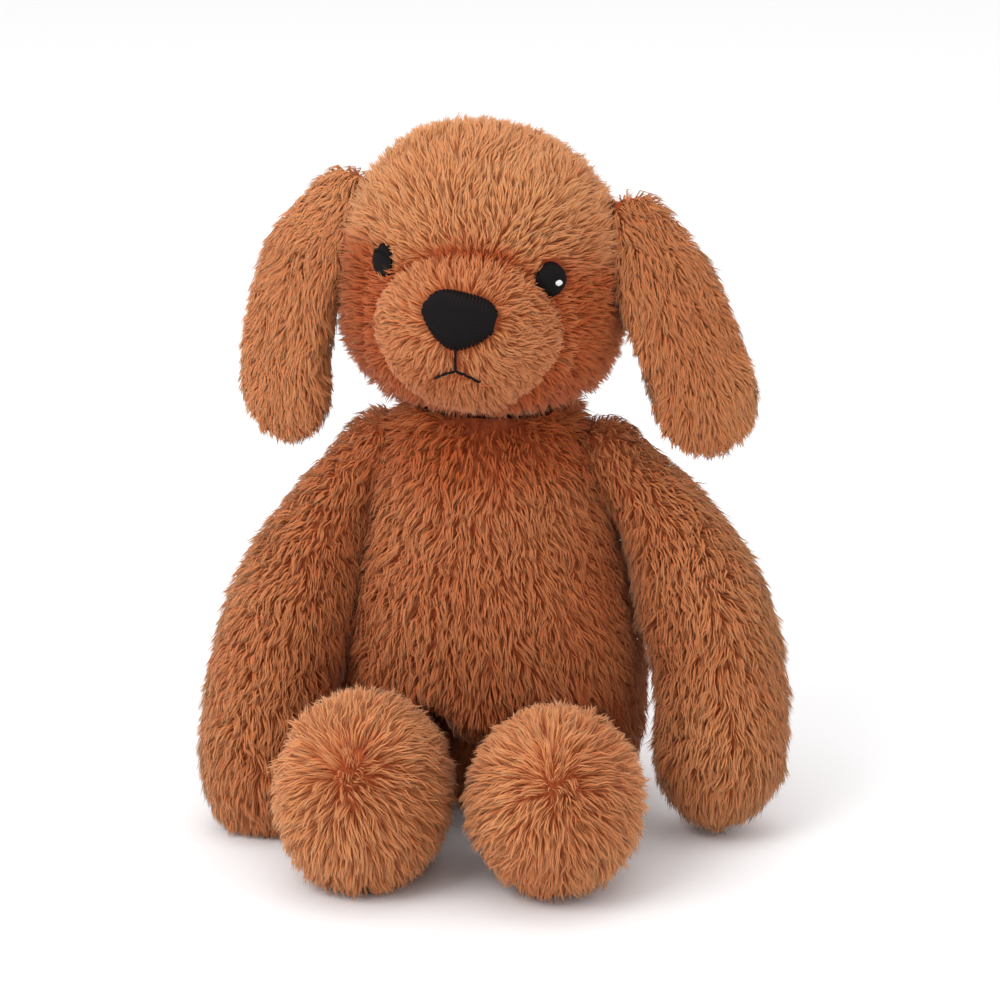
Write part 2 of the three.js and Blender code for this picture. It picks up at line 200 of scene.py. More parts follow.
def capped(rows, around):
    """The triangles of rows of points that close round, between one first and one last point."""
    index = 1 + np.arange(rows * around).reshape(rows, around)
    a, c = index[:-1], index[1:]
    first, last = index[0], index[-1]
    return np.concatenate([
        split(a, np.roll(a, -1, 1), c, np.roll(c, -1, 1)),
        np.stack([0 * first, np.roll(first, -1), first], -1),
        np.stack([0 * last + rows * around + 1, last, np.roll(last, -1)], -1),
    ])


def without_poles(grid):
    """The rows of a grid as a list, with its first and its last row as one point each."""
    return np.concatenate([grid[0, :1], grid[1:-1].reshape(-1, 3), grid[-1, :1]])


def closed_grid(points):
    """Vertices and triangles of a grid points[row, around] that closes round and ends in two poles.

    The triangles face outwards: they are turned round if the volume they enclose comes out negative.
    """
    rows, around = points.shape[:2]
    verts, tris = without_poles(points), capped(rows - 2, around)
    corner = verts[tris] - verts.mean(0)
    volume = np.einsum("ij,ij->i", corner[:, 0], np.cross(corner[:, 1], corner[:, 2])).sum()
    return verts, tris if volume > 0 else tris[:, ::-1]


def around_circle(count):
    """The angles of count equal steps round a circle."""
    return np.linspace(0, 2 * math.pi, count, endpoint=False)


def directions(rows, around):
    """A grid of unit directions between poles on the X axis: cosines and sines of two angles."""
    polar, turn = np.linspace(0, math.pi, rows)[:, None], around_circle(around)[None]
    return np.stack([
        np.cos(polar) + 0 * turn, np.sin(polar) * np.cos(turn), np.sin(polar) * np.sin(turn),
    ], -1)


def vertex_normals(verts, tris):
    """At each vertex, the area-weighted mean of the normals of its triangles."""
    corner = verts[tris]
    face = np.cross(corner[:, 1] - corner[:, 0], corner[:, 2] - corner[:, 0])
    normal = np.zeros_like(verts)
    for k in range(3):
        np.add.at(normal, tris[:, k], face)
    return unit(normal)


def spline(points, count):
    """Places, tangents and distances along a centripetal Catmull-Rom curve through points.

    Each stretch is the usual pyramid of mixes, with knots the square roots of the chords. The count steps
    are close at the ends: each is half of 1 - cos of an even angle, times the length.
    """
    p = np.array(points, float)
    p = np.concatenate([[2 * p[0] - p[1]], p, [2 * p[-1] - p[-2]]])
    knots = np.concatenate([[0], np.cumsum(np.linalg.norm(np.diff(p, axis=0), axis=1) ** 0.5)])
    fine = []
    for i in range(1, len(p) - 2):
        t = np.linspace(knots[i], knots[i + 1], 60, endpoint=i == len(p) - 3)[:, None]
        k = knots[i - 1:i + 3]
        a = [
            ((k[j + 1] - t) * p[i - 1 + j] + (t - k[j]) * p[i + j]) / (k[j + 1] - k[j]) for j in range(3)
        ]
        b = [((k[j + 2] - t) * a[j] + (t - k[j]) * a[j + 1]) / (k[j + 2] - k[j]) for j in range(2)]
        fine.append(((k[2] - t) * b[0] + (t - k[1]) * b[1]) / (k[2] - k[1]))
    fine = np.concatenate(fine)
    length = np.concatenate([[0], np.cumsum(np.linalg.norm(np.diff(fine, axis=0), axis=1))])
    steps = (1 - np.cos(np.linspace(0, math.pi, count))) / 2 * length[-1]
    place = np.stack([np.interp(steps, length, fine[:, k]) for k in range(3)], 1)
    tangent = np.gradient(fine, axis=0)
    tangent = unit(np.stack([np.interp(steps, length, tangent[:, k]) for k in range(3)], 1))
    return place, tangent, steps


def stuffed(shape, path, around, rows, across=(1, 0, 0)):
    """A stuffed limb: a round section carried along a path, INSET under the sewn size.

    Its radius grows from the ball to the full radius as a smooth step of the distance s along the path,
    times sqrt(1 - (1 - s/ball)^2) at the start and the same with the end's length at the far end.
    """
    place, tangent, s = spline(path, rows)
    length = s[-1]
    full = shape["ball"] + (shape["radius"] - shape["ball"]) * smooth(s, *shape["swell"])
    start = np.clip(1 - s / shape["ball"], 0, 1)
    end = np.clip(1 - (length - s) / shape["end"], 0, 1)
    inset = INSET * min(1, 2.4 * shape.get("thick", 1))
    radius = (full - inset) * np.sqrt(np.clip(1 - start**2 - end**2, 0, 1))
    place = place + tangent * (inset * (1 - 2 * s / length))[:, None]
    wide = unit(np.array(across) - tangent * (tangent @ np.array(across))[:, None])
    thick = np.cross(wide, tangent)
    taller = 1 + shape.get("rise", 0) * smooth(s / length, 0.3, 0.7)
    angle = around_circle(around)
    x = radius[:, None] * np.cos(angle)
    z = radius[:, None] * np.sin(angle) * (taller * shape.get("thick", 1))[:, None]
    grid = place[:, None] + wide[:, None] * x[..., None] + thick[:, None] * z[..., None]
    return *closed_grid(grid), without_poles(np.repeat(tangent[:, None], around, 1))


def ellipsoid_reach(direction, centre, radii):
    """How far an ellipsoid's far wall is from the origin along each direction; 0 where it is missed."""
    d, c = direction / radii, centre / radii
    a, b, k = (d * d).sum(1), (d @ c), c @ c - 1
    inside = b * b - a * k
    return np.where(inside > 0, (b + np.sqrt(np.maximum(inside, 0))) / a, 0)


def head_parts(d):
    """How far the skull and the muzzle each reach along unit directions from the head's centre.

    The skull is an ellipsoid, fuller high and low on one side by two bells, and its lower half swells as
    a power curve (flat^p + up^p)^(-1/p).
    """
    q = d / SKULL
    flat, up = np.hypot(q[:, 0], q[:, 1]), np.abs(q[:, 2])
    skull = np.where(q[:, 2] > 0, 1 / np.hypot(flat, up), (flat**JOWL + up**JOWL) ** (-1 / JOWL))
    high = np.linalg.norm(d - unit(np.array([-0.55, -0.15, 0.8])), axis=1)
    cheek = np.linalg.norm(d - unit(np.array([-0.9, -0.1, -0.45])), axis=1)
    skull = skull + 3.2 * np.exp(-((high / 0.5) ** 2)) + 1.6 * np.exp(-((cheek / 0.5) ** 2))
    return skull, ellipsoid_reach(d, MUZZLE_CENTRE, MUZZLE)


def head_reach(direction):
    """The head's skin from its centre: the rounded maximum of skull and muzzle, less small hollows.

    The rounded maximum is (a^12 + b^12)^(1/12). The hollows are bells at the brow and beside the muzzle,
    a valley where the two shapes meet, and one along the seams of the side panels.
    """
    d = unit(direction)
    skull, muzzle = head_parts(d)
    reach = (skull**12 + muzzle**12) ** (1 / 12) - INSET
    for place, width, depth in FACE_HOLLOWS:
        apart = np.linalg.norm(d - unit(np.array(place, float)), axis=1)
        reach -= depth * np.exp(-((apart / width) ** 2))
    reach -= 2.6 * np.exp(-(((skull - muzzle) / 2.6) ** 2)) * smooth(-d[:, 1], 0.2, 0.5)
    seam = np.abs(np.abs(d[:, 0] * reach) - SIDE_SEAM)
    return reach - 0.9 * np.exp(-((seam / 2.2) ** 2))


def head_surface(around=112, rows=72):
    """The head's skin in head coordinates: a grid of directions times head_reach."""
    direction = directions(rows, around)
    reach = head_reach(direction.reshape(-1, 3)).reshape(direction.shape[:2])
    return closed_grid(direction * reach[..., None])


def torso_surface(around=96, rows=64):
    """The torso's skin: a lathed profile, flattened front to back, with a hollow pressed in for the hips.

    Every point under the hollow's roof moves back to y = hip - sqrt(R^2 - (z - hip)^2) or beyond.
    """
    neck, hip = pivot("head_turn"), pivot("left_leg_raise")
    side, _, _ = spline([(r, 0, z) for r, z in TORSO_SIDE], 60)
    tall = TORSO_SIDE[-1][1]
    radius, height = side[:, 0] - INSET, INSET * 0.6 + side[:, 2] * (tall - INSET * 1.2) / tall
    dish = np.linspace(radius[-1] - 1.5, 0, 8)
    radius = np.concatenate([np.linspace(0, radius[0], 8)[:-1], radius, dish])
    floor = np.full(7, height[0])
    bowl = neck[2] - np.sqrt(np.maximum(NECK_DISH**2 - dish**2, 0))
    height = np.concatenate([floor, height, bowl])
    travel = np.concatenate([[0], np.cumsum(np.hypot(np.diff(radius), np.diff(height)))])
    steps = np.linspace(0, travel[-1], rows)
    radius, height = np.interp(steps, travel, radius), np.interp(steps, travel, height)
    radius, height, turn = radius[:, None], height[:, None], around_circle(around)[None]
    grid = np.stack([radius * np.cos(turn), radius * np.sin(turn) * TORSO_DEPTH, height + 0 * turn], -1)
    reach = HIP_HOLLOW + INSET - HIP_MIDDLE * (1 - smooth(np.abs(grid[..., 0]), 3, 15))
    rise = grid[..., 2] - hip[2]
    wall = hip[1] + np.sqrt(np.maximum(reach**2 - np.maximum(rise, 0) ** 2, 0))
    under = smooth(reach - rise, 0, 5)
    grid[..., 1] += np.maximum(wall - grid[..., 1], 0) * under
    grid[..., 0] *= 1 + 0.07 * (grid[..., 0] < 0) * smooth(grid[..., 2], 30, 75)
    return closed_grid(grid)


# ---- Meshes --------------------------------------------------------------------------------------


def make_mesh(name, verts, tris, normals=None, uv=None):
    """A mesh object from vertices in millimetres and triangles, with smooth shading."""
    mesh = bpy.data.meshes.new(name)
    mesh.vertices.add(len(verts))
    mesh.vertices.foreach_set("co", (verts * MM).astype(np.float32).ravel())
    mesh.loops.add(len(tris) * 3)
    mesh.loops.foreach_set("vertex_index", tris.astype(np.int32).ravel())
    mesh.polygons.add(len(tris))
    mesh.polygons.foreach_set("loop_start", np.arange(0, len(tris) * 3, 3, dtype=np.int32))
    mesh.polygons.foreach_set("use_smooth", np.ones(len(tris), bool))
    mesh.update(calc_edges=True)
    if uv is not None:
        layer = mesh.uv_layers.new(name="OFBake")
        layer.data.foreach_set("uv", uv[tris.ravel()].astype(np.float32).ravel())
    if normals is not None:
        mesh.normals_split_custom_set_from_vertices(normals)
    piece = bpy.data.objects.new(name, mesh)
    bpy.context.scene.collection.objects.link(piece)
    return piece


def finish_piece(piece, body, material, slot, *nodes, fill=None):
    """Gives a piece its material and its body, and hides the design solids it stands for. Its record slot is
    not used.
    """
    piece.data.materials.append(material)
    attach(piece, body)
    if nodes:
        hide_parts(*nodes)


def repeated(pattern, size, count):
    """The triangles of count copies of a pattern that has this many vertices."""
    return (pattern[None] + size * np.arange(count)[:, None, None]).reshape(-1, 3)


def tubes(paths, radius, sides=6):
    """Closed round threads along paths[thread, step], with rounded ends. radius is a number per step."""
    count, steps = paths.shape[:2]
    tangent = unit(np.gradient(paths, axis=1))
    guide = np.broadcast_to(np.array([0.31, 0.2, 0.93]), tangent.shape)
    first = unit(np.cross(tangent, guide))
    second = np.cross(tangent, first)
    angle = around_circle(sides)
    ring = first[:, :, None] * np.cos(angle)[:, None] + second[:, :, None] * np.sin(angle)[:, None]
    body = paths[:, :, None] + ring * np.broadcast_to(radius, (steps,))[:, None, None]
    verts = np.concatenate([paths[:, :1], body.reshape(count, -1, 3), paths[:, -1:]], 1)
    return verts.reshape(-1, 3), repeated(capped(steps, sides), steps * sides + 2, count)


def joined(*parts):
    """Several (vertices, triangles) as one."""
    shift = np.cumsum([0] + [len(verts) for verts, _ in parts])
    tris = [tris + start for (_, tris), start in zip(parts, shift)]
    return np.concatenate([verts for verts, _ in parts]), np.concatenate(tris)


# ---- Padding -------------------------------------------------------------------------------------

PRESSURE, PUFFING_FRAMES = 4, 16


def inflate(verts, tris, held, cap=2.0):
    """Puffs a skin as cloth under inner pressure, held along its seams; no point moves further than cap."""
    piece = make_mesh("inflating", verts, tris)
    group = piece.vertex_groups.new(name="seams")
    group.add([int(i) for i in np.nonzero(held)[0]], 1.0, "ADD")
    cloth = piece.modifiers.new("cloth", "CLOTH")
    cloth.settings.use_pressure = True
    cloth.settings.uniform_pressure_force = PRESSURE
    cloth.settings.effector_weights.gravity = 0
    cloth.settings.vertex_group_mass = "seams"
    cloth.settings.quality = 4
    cloth.point_cache.frame_start, cloth.point_cache.frame_end = 1, PUFFING_FRAMES
    for step in range(1, PUFFING_FRAMES + 1):
        bpy.context.scene.frame_set(step)
    graph = bpy.context.evaluated_depsgraph_get()
    puffed = np.empty(len(verts) * 3, np.float32)
    piece.evaluated_get(graph).data.vertices.foreach_get("co", puffed)
    bpy.data.objects.remove(piece)
    bpy.context.scene.frame_set(1)
    move = puffed.reshape(-1, 3) / MM - verts
    far = np.linalg.norm(move, axis=1, keepdims=True)
    if not np.isfinite(far).all():
        raise RuntimeError("the cloth came apart")
    return verts + move * np.minimum(1, cap / np.maximum(far, 1e-9))


# ---- Pile ----------------------------------------------------------------------------------------

# A fine lock is a spike of four corners. A bent lock, BENT_SHARE of them all, has a second ring of three.
BENT_SHARE, FINE_LENGTH, FINE_WIDTH = 0.29, 0.84, 0.78
RING_ANGLES = (0.3, 2.4, 4.5)
SWINGS = ((0.42, 17, 2), (0.38, 6, 3))  # how far the comb wanders: radians, length of the waves, seed
GATHERED_BY, GATHER_REACH = 12, 5.0  # locks to each gathering one, and how near they are to be drawn in
FINE_TRIS = np.array([(0, 1, 3), (1, 2, 3), (2, 0, 3), (0, 2, 1)])
LOCK_TRIS = np.array([
    (0, 1, 4), (0, 4, 3), (1, 2, 5), (1, 5, 4), (2, 0, 3), (2, 3, 5),
    (3, 4, 6), (4, 5, 6), (5, 3, 6), (0, 2, 1),
])


def scatter(verts, tris, weight, count, rng):
    """count places spread evenly by area times weight: the triangle of each, and its corner weights."""
    corner = verts[tris]
    area = np.linalg.norm(np.cross(corner[:, 1] - corner[:, 0], corner[:, 2] - corner[:, 0]), axis=1)
    share = np.cumsum(area * weight[tris].mean(1))
    pick = np.searchsorted(share, (np.arange(count) + rng.random(count)) / count * share[-1])
    u, v = np.sqrt(rng.random(count)), rng.random(count)
    return np.minimum(pick, len(tris) - 1), np.stack([1 - u, u * (1 - v), u * v], 1)


def nearest(points, centres):
    """For each point, the index of the nearest centre, in blocks."""
    found = np.empty(len(points), int)
    square = (centres**2).sum(1)
    for start in range(0, len(points), 4000):
        block = points[start:start + 4000]
        found[start:start + 4000] = np.argmin(square - 2 * block @ centres.T, axis=1)
    return found


def grow_pile(skin, comb, length, lean, seed, count, keep=None, weight=None, tone=0.5):
    """Tapered locks of pile on a skin: vertices, triangles, shading normals and (tone and shade, along)
    for each.

    A lock starts at its root under the skin, leaves at 0.6 of its lean from the normal and ends at 1.35 of
    it, towards the comb direction, which wanders by a smooth noise. Locks gather: each tip moves part of
    the way to the tip of the nearest of the gathering locks, and less the further off that one is. The
    tone holds the locks' own lighter and darker colour, with painted light and shade laid on it. Where it
    falls below 0, the whole lock keeps nearer to the colour of its root, which paints deeper shade.
    """
    verts, tris = skin
    rng = np.random.default_rng(seed)
    normals = vertex_normals(verts, tris)
    weight = np.ones(len(verts)) if weight is None else weight
    pick, mix = scatter(verts, tris, weight, count, rng)

    def at(values):
        values = np.broadcast_to(values, (len(verts),)) if np.ndim(values) == 0 else values
        return np.einsum("nk,nk...->n...", mix, values[tris[pick]])

    if keep is not None:
        kept = keep(at(verts))
        pick, mix = pick[kept], mix[kept]
    root, normal, flow = at(verts), unit(at(normals)), at(comb)
    size, tilt = at(length), np.radians(at(lean))
    total = len(root)
    bent = rng.random(total) < BENT_SHARE
    size = size * rng.uniform(0.8, 1.12, total) * np.where(bent, 1, FINE_LENGTH)
    tilt = tilt + rng.normal(0, 0.12, total) + 0.14 * ripple(root, 13, seed + 1)
    flow = unit(flow - normal * (flow * normal).sum(1, keepdims=True))
    across = np.cross(normal, flow)
    swing = sum(far * ripple(root, wave, seed + extra) for far, wave, extra in SWINGS)
    swing = swing + rng.normal(0, 0.16, total)
    flow = flow * np.cos(swing)[:, None] + across * np.sin(swing)[:, None]
    across = np.cross(normal, flow)

    def out(share, angle):
        return (normal * np.cos(angle)[:, None] + flow * np.sin(angle)[:, None]) * (size * share)[:, None]

    middle = root + out(0.52, tilt * 0.6)
    tip = middle + out(0.52, np.minimum(tilt * 1.35, 1.7))
    stray = 0.2 * ripple(root, 4.5, seed + 5) + 0.06 * rng.normal(size=total)
    tip = tip + across * (size * stray)[:, None]
    tip[:, 2] -= 0.05 * size
    centres = rng.choice(total, max(4, total // GATHERED_BY), replace=False)
    gather = centres[nearest(root, root[centres])]
    apart = np.linalg.norm(root - root[gather], axis=1)
    pull = (rng.uniform(0.35, 0.8, total) * np.exp(-((apart / GATHER_REACH) ** 2)))[:, None]
    tip = tip + (tip[gather] - tip) * pull
    middle = middle + (middle[gather] - middle) * pull * 0.45
    middle[:, 2] = np.maximum(middle[:, 2], FLOOR + 0.4)
    tip[:, 2] = np.maximum(tip[:, 2], FLOOR)

    width = settings().strand_width / MM / 2 * rng.uniform(0.8, 1.25, total)
    width = width * np.where(bent, 1, FINE_WIDTH)
    rise = unit(middle - root)
    lift = np.cross(rise, across)
    ring = np.stack([across * math.cos(angle) + lift * math.sin(angle) for angle in RING_ANGLES], 1)
    base = (root - normal * 0.8)[:, None] + ring * width[:, None, None]
    belly = middle[:, None] + ring * (width * 0.92)[:, None, None]
    light = at(tone) + 0.12 * ripple(root, 42, seed + 4) + 0.12 * (rng.random(total)[gather] - 0.5)
    light = light + 0.12 * (rng.random(total) - 0.5)
    # where painted shade takes the tone below 0, the lock's colour moves towards its root: deeper painted
    # shade
    dim = 1 - 0.9 * np.clip(-light, 0, 0.7)[:, None]
    light = np.clip(light, 0.02, 0.97)
    facing = unit(normal[:, None] + 0.22 * ring)
    verts, tris, shade, uv = [], [], [], []
    for chosen, rows, pattern, along in (
        (bent, (base, belly), LOCK_TRIS, (0.02, 0.5, 0.98)), (~bent, (base,), FINE_TRIS, (0.02, 0.98)),
    ):
        lock = np.concatenate([row[chosen] for row in rows] + [tip[chosen, None]], 1)
        lock[:, :, 2] = np.maximum(lock[:, :, 2], FLOOR)
        corners = lock.shape[1]
        v = np.append(np.repeat(along[:-1], 3), along[-1])
        u = light[chosen, None] + 0.008 * (np.arange(corners) % 3)
        tris.append(repeated(pattern, corners, len(lock)) + sum(map(len, verts)))
        verts.append(lock.reshape(-1, 3))
        shade.append(np.concatenate([facing[chosen]] * len(rows) + [normal[chosen, None]], 1).reshape(-1, 3))
        uv.append(np.stack([u, v * dim[chosen]], -1).reshape(-1, 2))
    return tuple(np.concatenate(part) for part in (verts, tris, shade, uv))


def stuffing(skin, body, node):
    """The fibre under a skin: the same shape 1.2 mm inside it."""
    verts, tris = skin
    piece = make_mesh(node + "_fibre", verts - 1.2 * vertex_normals(verts, tris), tris)
    finish_piece(piece, body, fibre(), "filling", node, fill=FIRM["fibre"])


def pile_piece(name, skin, *args, with_skin=True, **options):
    """A mesh object of pile, with the skin that it grows on, which takes the colour of the roots."""
    verts, tris, shade, uv = grow_pile(skin, *args, **options)
    if with_skin:
        skin_verts, skin_tris = skin
        number = np.arange(len(skin_verts))
        place = np.stack([0.3 + 0.3 * (number % 2), 0.02 * (number % 3)], 1)
        tris = np.concatenate([skin_tris, tris + len(skin_verts)])
        shade = np.concatenate([vertex_normals(skin_verts, skin_tris), shade])
        uv = np.concatenate([place, uv])
        verts = np.concatenate([skin_verts, verts])
    return make_mesh(name, verts, tris, shade, uv)


# ---- Materials -----------------------------------------------------------------------------------

# The two ends of the pile's colour mix: the tone picks between them, and the painted light and shade in that
# tone pale or deepen whole regions.
DEEP_TINT, PALE_TINT = np.array([0.82, 0.37, 0.23]), np.array([1.24, 1.19, 1.12])
MIX_COLOURS, MIXED_COLOUR = (6, 7), 2  # the Mix node's sockets for colours
OBJECT_PLACE = 3  # the Texture Coordinate node's output for Object coordinates


class Sock:
    """A value in a node tree: arithmetic on it adds Math nodes."""

    def __init__(self, tree, socket):
        self.tree = tree
        self.socket = socket

    def __add__(self, other):
        return self.tree.add("ShaderNodeMath", {"operation": "ADD"}, self, other)

    def __mul__(self, other):
        return self.tree.add("ShaderNodeMath", {"operation": "MULTIPLY"}, self, other)

    __radd__ = __add__
    __rmul__ = __mul__


class Tree:
    """A material's node tree, with one method that adds any node."""

    def __init__(self, name):
        self.material = bpy.data.materials.new(name)
        self.material.use_nodes = True
        self.nodes = self.material.node_tree.nodes
        self.links = self.material.node_tree.links
        self.shader = self.nodes["Principled BSDF"]

    def add(self, kind, setup, *values, out=0, **named):
        """A node of this kind: its settings first, then its sockets by order or by name."""
        node = self.nodes.new(kind)
        for key, value in setup.items():
            if key == "stops":
                self.stops(node.color_ramp, value)
            else:
                setattr(node, key, value)
        pairs = list(enumerate(values)) + [(key.replace("_", " "), value) for key, value in named.items()]
        for key, value in pairs:
            self.feed(node.inputs[key], value)
        return Sock(self, node.outputs[out])

    def stops(self, ramp, stops):
        """Gives a new ramp its places and colours."""
        while len(ramp.elements) < len(stops):
            ramp.elements.new(0.5)
        for element, (place, colour) in zip(ramp.elements, stops):
            element.position = place
            element.color = (*colour, 1)

    def ramp(self, fac, *stops):
        """A colour for each value: (place, colour) at each stop, evenly mixed between."""
        return self.add("ShaderNodeValToRGB", {"stops": stops}, fac)

    def feed(self, socket, value):
        """Links a value of the tree to a socket, or sets it to a number, a colour or a vector."""
        if isinstance(value, Sock):
            self.links.new(value.socket, socket)
        else:
            socket.default_value = value

    def mix(self, fac, first, second):
        """A colour between two colours."""
        mixed = self.add("ShaderNodeMix", {"data_type": "RGBA"}, fac, out=MIXED_COLOUR)
        for index, colour in zip(MIX_COLOURS, (first, second)):
            self.feed(mixed.socket.node.inputs[index], colour)
        return mixed

    def set(self, **values):
        """Values or links for the shader's sockets."""
        for key, value in values.items():
            self.feed(self.shader.inputs[key.replace("_", " ")], value)
        return self.material


def scaled(colour, factor):
    """A colour times a factor."""
    return tuple(min(1.0, c * factor) for c in colour[:3])


def pile_material(name, root, tip):
    """Plush pile: dark at the roots and pale at the tips, each lock a little lighter or darker, with
    painted light and shade by region through the mix of a deep and a pale ramp.
    """
    tree = Tree(name)
    place = tree.add("ShaderNodeUVMap", {"uv_map": "OFBake"})
    tone, along = (tree.add("ShaderNodeSeparateXYZ", {}, place, out=part) for part in (0, 1))
    root, tip = np.array(root), np.array(tip)
    stops = ((0.0, root), (0.5, 0.4 * root + 0.6 * tip), (1.0, tip))
    deep, pale = (
        tree.ramp(along, *((at, tuple(colour * tint)) for at, colour in stops))
        for tint in (DEEP_TINT, PALE_TINT)
    )
    # the mix by the tone, which carries painted light and shade as well as each lock's own tone
    colour = tree.mix(tone, deep, pale)
    return tree.set(
        Base_Color=colour, Roughness=0.85, Sheen_Weight=0.25, Sheen_Roughness=0.5,
        Sheen_Tint=(1.0, 0.72, 0.5, 1), Specular_IOR_Level=0.15, Subsurface_Weight=0.35,
        Subsurface_Radius=(1.0, 0.45, 0.25), Subsurface_Scale=0.0012)


def thread_material(name, colour, gloss=0.7):
    """Embroidery thread: fine twist and fuzz as a bump, and painted light and shade along the twist."""
    tree = Tree(name)
    place = tree.add("ShaderNodeTexCoord", {}, out=OBJECT_PLACE)
    twist = tree.add(
        "ShaderNodeTexWave", {"wave_type": "BANDS", "bands_direction": "DIAGONAL"},
        Vector=place, Scale=900.0, Distortion=1.5)
    fuzz = tree.add("ShaderNodeTexNoise", {}, Vector=place, Scale=2600.0, Detail=2.0)
    bump = tree.add("ShaderNodeBump", {}, Height=0.8 * twist + 0.2 * fuzz, Strength=0.35, Distance=0.0002)
    # painted light and shade: the thread is lighter on the twist's ridges and darker in its grooves, in the
    # same bands as the bump
    shade = tree.ramp(twist, (0.0, scaled(colour, 0.7)), (1.0, scaled(colour, 1.35)))
    return tree.set(Base_Color=shade, Roughness=gloss, Normal=bump, Specular_IOR_Level=0.12)


def woven_material(name, colour, grain, depth):
    """Plain cloth or matted fibre: noise of this grain in its tone and as a bump."""
    tree = Tree(name)
    place = tree.add("ShaderNodeTexCoord", {}, out=OBJECT_PLACE)
    cloud = tree.add("ShaderNodeTexNoise", {}, Vector=place, Scale=1 / grain, Detail=4.0)
    bump = tree.add("ShaderNodeBump", {}, Height=cloud, Strength=0.5, Distance=depth)
    shade = tree.ramp(cloud, (0.3, scaled(colour, 0.82)), (0.7, scaled(colour, 1.08)))
    return tree.set(Base_Color=shade, Roughness=0.9, Normal=bump)


# ---- Settings ------------------------------------------------------------------------------------


class PlushDogSettings(bpy.types.PropertyGroup):
    """Sizes and colours of the dog."""

    pile_length: bpy.props.FloatProperty(
        name="Pile length", description="Length of the longest pile", default=0.0092, min=0.004, max=0.016,
        unit="LENGTH")
    strand_width: bpy.props.FloatProperty(
        name="Lock width", description="Width of one lock of pile at its root", default=0.0006, min=0.0003,
        max=0.002, unit="LENGTH")
    density: bpy.props.FloatProperty(
        name="Density", description="Share of the full number of locks", default=1.0, min=0.1, max=1.2,
        subtype="FACTOR")
    root_colour: bpy.props.FloatVectorProperty(
        name="Root colour", description="Colour of the pile at its roots", default=(0.38, 0.105, 0.036),
        subtype="COLOR", min=0, max=1)
    tip_colour: bpy.props.FloatVectorProperty(
        name="Tip colour", description="Colour of the pile at its tips", default=(0.72, 0.30, 0.125),
        subtype="COLOR", min=0, max=1)
    thread_colour: bpy.props.FloatVectorProperty(
        name="Thread colour", description="Colour of the nose, mouth and eyes",
        default=(0.007, 0.005, 0.0055), subtype="COLOR", min=0, max=1)
    floor_colour: bpy.props.FloatVectorProperty(
        name="Floor colour", description="Colour of the studio floor", default=(0.93, 0.93, 0.935),
        subtype="COLOR", min=0, max=1)


def settings():
    """The scene's settings for the dog."""
    return bpy.context.scene.plush_dog


def once(name, make, *values):
    """The material of this name, made when it is first asked for."""
    return bpy.data.materials.get(name) or make(name, *values)


def thread():
    """The dark embroidery thread."""
    return once("dark_thread", thread_material, tuple(settings().thread_colour))


def fibre():
    """The matted fibre that fills the dog."""
    return once("fibre_filling", woven_material, (0.86, 0.85, 0.82), 0.004, 0.001)


def full_length():
    """The length of the longest pile, in millimetres."""
    return settings().pile_length / MM


def sew(name, skin, comb, length, lean, plush, body, nodes, firm, count, **options):
    """Grows a piece of one of the three plushes, head, body or limb, and finishes it."""
    piece = pile_piece(name, skin, comb, length, lean, count=int(count * settings().density), **options)
    colours = tuple(settings().root_colour), tuple(settings().tip_colour)
    material = once(plush + "_pile", pile_material, *colours)
    finish_piece(piece, body, material, plush + "_plush", *nodes, fill=FIRM[firm])


# ---- Head ----------------------------------------------------------------------------------------


def nose_bounds(u):
    """The nose's lower and upper edge at each place across it: power curves, the lower one more pointed."""
    share = np.clip(np.abs(u) / NOSE_HALF[0], 0, 1)
    upper = NOSE_HALF[1] * NOSE_TOP * (1 - share**3.2) ** (1 / 2.2)
    lower = -NOSE_HALF[1] * (1 - share**1.55) ** (1 / 1.35)
    return lower, upper


def face_point(across, up, out):
    """Points on the face in head coordinates at these places across and up, this far outside the skin."""
    y = np.full(np.shape(across), -60.0)
    for _ in range(12):
        point = np.stack([across, y, up], -1)
        reach = head_reach(point) + out
        y = -np.sqrt(np.maximum(reach**2 - across**2 - up**2, 1))
    return np.stack([across, y, up], -1)


def in_nose(points, margin):
    """Whether points in head coordinates are in front and inside the nose's outline plus a margin."""
    angle = math.radians(-NOSE_LEAN)
    x, z = points[:, 0] - NOSE_CENTRE[0], points[:, 2] - NOSE_CENTRE[1]
    u, v = x * math.cos(angle) - z * math.sin(angle), x * math.sin(angle) + z * math.cos(angle)
    lower, upper = nose_bounds(u * NOSE_HALF[0] / (NOSE_HALF[0] + margin))
    tall, wide = (v < upper + margin) & (v > lower - margin), np.abs(u) < NOSE_HALF[0] + margin
    return (points[:, 1] < FACE_FRONT) & tall & wide


def eye_frame(side):
    """An eye's centre on the skin, and the directions across, up and out of it."""
    place = EYE_PLACE[side]
    out = unit(place / SKULL**2)
    across = unit(np.cross((0, 0, 1.0), out))
    return place, across, np.cross(out, across), out


def in_eye(points, margin):
    """Whether points in head coordinates are inside either eye's oval plus a margin."""
    inside = np.zeros(len(points), bool)
    for _, side in SIDES:
        place, across, up, out = eye_frame(side)
        apart = points - place
        outward, upward, share = EYE_SHOWS[side]
        u, v = apart @ across - outward * side, apart @ up - upward
        oval = (u / (EYE_HALF[0] * share + margin)) ** 2 + (v / (EYE_HALF[1] * share + margin)) ** 2
        inside |= (oval < 1) & (np.abs(apart @ out) < 8)
    return inside


